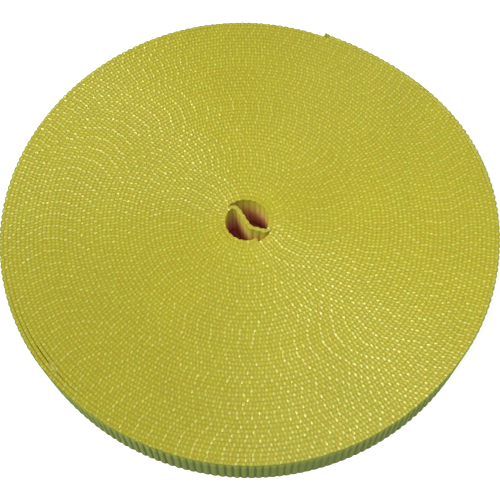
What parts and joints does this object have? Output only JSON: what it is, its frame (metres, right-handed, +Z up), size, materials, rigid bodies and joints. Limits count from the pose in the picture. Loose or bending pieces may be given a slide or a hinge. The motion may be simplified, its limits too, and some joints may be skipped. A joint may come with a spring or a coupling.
{
  "type": "coreless roll of woven webbing",
  "caption": "Flat coreless roll of yellow woven strip on edge; inner end crosses a small open eye in a bent S, outer end peels, turns slide into a cone.",
  "frame": {"origin": "middle of the roll's outline, on the face it rests on", "axes": "+Z up along the roll's axis, across the strip's width; +X to the viewer's right with the eye's S running from upper left to lower right; +Y away from the viewer, so the strip's outer end is at the back, a little to the right"},
  "size_m": [0.1658, 0.165, 0.015],
  "materials": {
    "webbing": "coarse ribbed weave of polypropylene yarn, slight sheen",
    "melted_tip": "heat-sealed cut end, satin"
  },
  "bodies": {
    "outer_turns": {"turns_45_to_53": "webbing"},
    "turns_e": {"turns_36_to_44": "webbing"},
    "turns_d": {"turns_27_to_35": "webbing"},
    "turns_c": {"turns_18_to_26": "webbing"},
    "turns_b": {"turns_09_to_17": "webbing"},
    "turns_a": {"turns_01_to_08": "webbing", "eye_crossing": "webbing", "eye_lap": "webbing", "inner_sealed_tip": "melted_tip"},
    "peel_a": {"peel_1": "webbing"},
    "peel_b": {"peel_2": "webbing"},
    "peel_c": {"peel_3": "webbing"},
    "peel_d": {"peel_4": "webbing"},
    "peel_e": {"peel_5": "webbing"},
    "peel_f": {"peel_6": "webbing", "outer_sealed_tip": "melted_tip"}
  },
  "joints": [
    {"name": "cone_slide_e", "type": "slide", "parent": "outer_turns", "child": "turns_e", "axis": [0, 0, 1], "range_m": [0, 0.003]},
    {"name": "cone_slide_d", "type": "slide", "parent": "turns_e", "child": "turns_d", "axis": [0, 0, 1], "range_m": [0, 0.003]},
    {"name": "cone_slide_c", "type": "slide", "parent": "turns_d", "child": "turns_c", "axis": [0, 0, 1], "range_m": [0, 0.003]},
    {"name": "cone_slide_b", "type": "slide", "parent": "turns_c", "child": "turns_b", "axis": [0, 0, 1], "range_m": [0, 0.003]},
    {"name": "cone_slide_a", "type": "slide", "parent": "turns_b", "child": "turns_a", "axis": [0, 0, 1], "range_m": [0, 0.003]},
    {"name": "peel_bend_a", "type": "hinge", "parent": "outer_turns", "child": "peel_a", "pos_m": [0.08102, 0.01504, 0.0075], "axis": [0, 0, -1], "range_deg": [0, 18]},
    {"name": "peel_bend_b", "type": "hinge", "parent": "peel_a", "child": "peel_b", "pos_m": [0.07712, 0.02892, 0.0075], "axis": [0, 0, -1], "range_deg": [0, 18]},
    {"name": "peel_bend_c", "type": "hinge", "parent": "peel_b", "child": "peel_c", "pos_m": [0.0706, 0.04173, 0.0075], "axis": [0, 0, -1], "range_deg": [0, 18]},
    {"name": "peel_bend_d", "type": "hinge", "parent": "peel_c", "child": "peel_d", "pos_m": [0.06181, 0.05298, 0.0075], "axis": [0, 0, -1], "range_deg": [0, 18]},
    {"name": "peel_bend_e", "type": "hinge", "parent": "peel_d", "child": "peel_e", "pos_m": [0.05134, 0.0625, 0.0075], "axis": [0, 0, -1], "range_deg": [0, 18]},
    {"name": "peel_bend_f", "type": "hinge", "parent": "peel_e", "child": "peel_f", "pos_m": [0.03974, 0.07046, 0.0075], "axis": [0, 0, -1], "range_deg": [0, 18]}
  ],
  "couplings": [
    {"joint": "cone_slide_d", "follows": "cone_slide_e", "ratio": 1},
    {"joint": "cone_slide_c", "follows": "cone_slide_e", "ratio": 1},
    {"joint": "cone_slide_b", "follows": "cone_slide_e", "ratio": 1},
    {"joint": "cone_slide_a", "follows": "cone_slide_e", "ratio": 1},
    {"joint": "peel_bend_b", "follows": "peel_bend_a", "ratio": 1},
    {"joint": "peel_bend_c", "follows": "peel_bend_a", "ratio": 1},
    {"joint": "peel_bend_d", "follows": "peel_bend_a", "ratio": 1},
    {"joint": "peel_bend_e", "follows": "peel_bend_a", "ratio": 1},
    {"joint": "peel_bend_f", "follows": "peel_bend_a", "ratio": 1}
  ]
}
